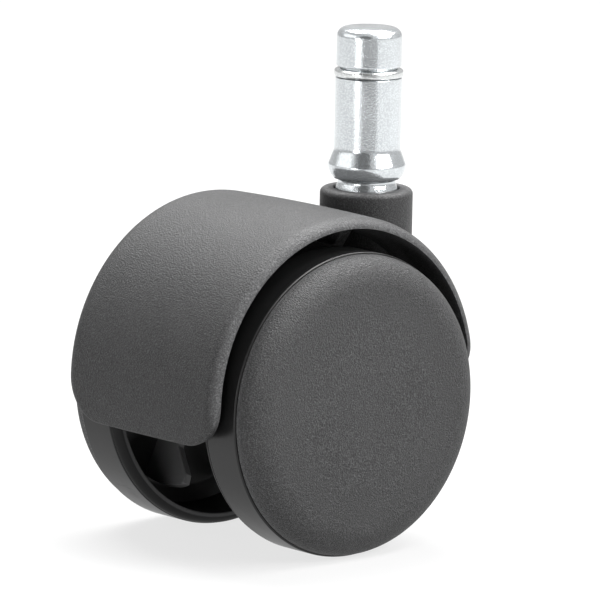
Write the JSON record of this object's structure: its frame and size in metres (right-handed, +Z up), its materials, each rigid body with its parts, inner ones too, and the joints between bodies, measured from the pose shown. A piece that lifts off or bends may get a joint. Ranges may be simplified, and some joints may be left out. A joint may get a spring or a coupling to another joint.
{
  "type": "twin-wheel swivel caster",
  "caption": "Hooded twin-wheel swivel caster with a grip-ring stem, for the leg of an office chair or other furniture.",
  "frame": {"origin": "on the stem axis, where the straight stem ends above its collar", "axes": "+Z up the stem, +X the rolling direction with the axle trailing at -X, +Y along the axle towards the left wheel"},
  "size_m": [0.0577, 0.048, 0.0831],
  "materials": {
    "housing_nylon": "fine spark-eroded grain",
    "cover_nylon": "fine spark-eroded grain",
    "core_nylon": "as moulded, satin",
    "tread_plastic": "smooth satin",
    "zinc_plated_stem": "bright zinc plate",
    "grip_ring_steel": "bright zinc plate",
    "plated_steel": "bright zinc plate",
    "spring_steel": "oiled spring steel"
  },
  "bodies": {
    "stem": {"stem": "zinc_plated_stem", "stem_clip": "spring_steel"},
    "grip_ring": {"grip_ring": "grip_ring_steel"},
    "swivel": {"hood_housing": "housing_nylon", "socket_bush": "plated_steel", "thrust_washer": "plated_steel", "axle_pin": "plated_steel", "hub_washer_left": "plated_steel", "hub_washer_right": "plated_steel", "axle_clip_left": "spring_steel", "axle_clip_right": "spring_steel"},
    "wheel_left": {"wheel_core_left": "core_nylon", "wheel_rim_left": "core_nylon", "tread_left": "tread_plastic", "wheel_cover_left": "cover_nylon"},
    "wheel_right": {"wheel_core_right": "core_nylon", "wheel_rim_right": "core_nylon", "tread_right": "tread_plastic", "wheel_cover_right": "cover_nylon"}
  },
  "joints": [
    {"name": "swivel_turn", "type": "hinge", "parent": "stem", "child": "swivel", "pos_m": [0, 0, -0.016], "axis": [0, 0, 1], "continuous": true},
    {"name": "left_wheel_roll", "type": "hinge", "parent": "swivel", "child": "wheel_left", "pos_m": [-0.0197, 0.0155, -0.03765], "axis": [0, 1, 0], "continuous": true},
    {"name": "right_wheel_roll", "type": "hinge", "parent": "swivel", "child": "wheel_right", "pos_m": [-0.0197, -0.0155, -0.03765], "axis": [0, 1, 0], "continuous": true},
    {"name": "grip_ring_turn", "type": "hinge", "parent": "stem", "child": "grip_ring", "pos_m": [0, 0, 0.01285], "axis": [0, 0, 1], "continuous": true}
  ]
}
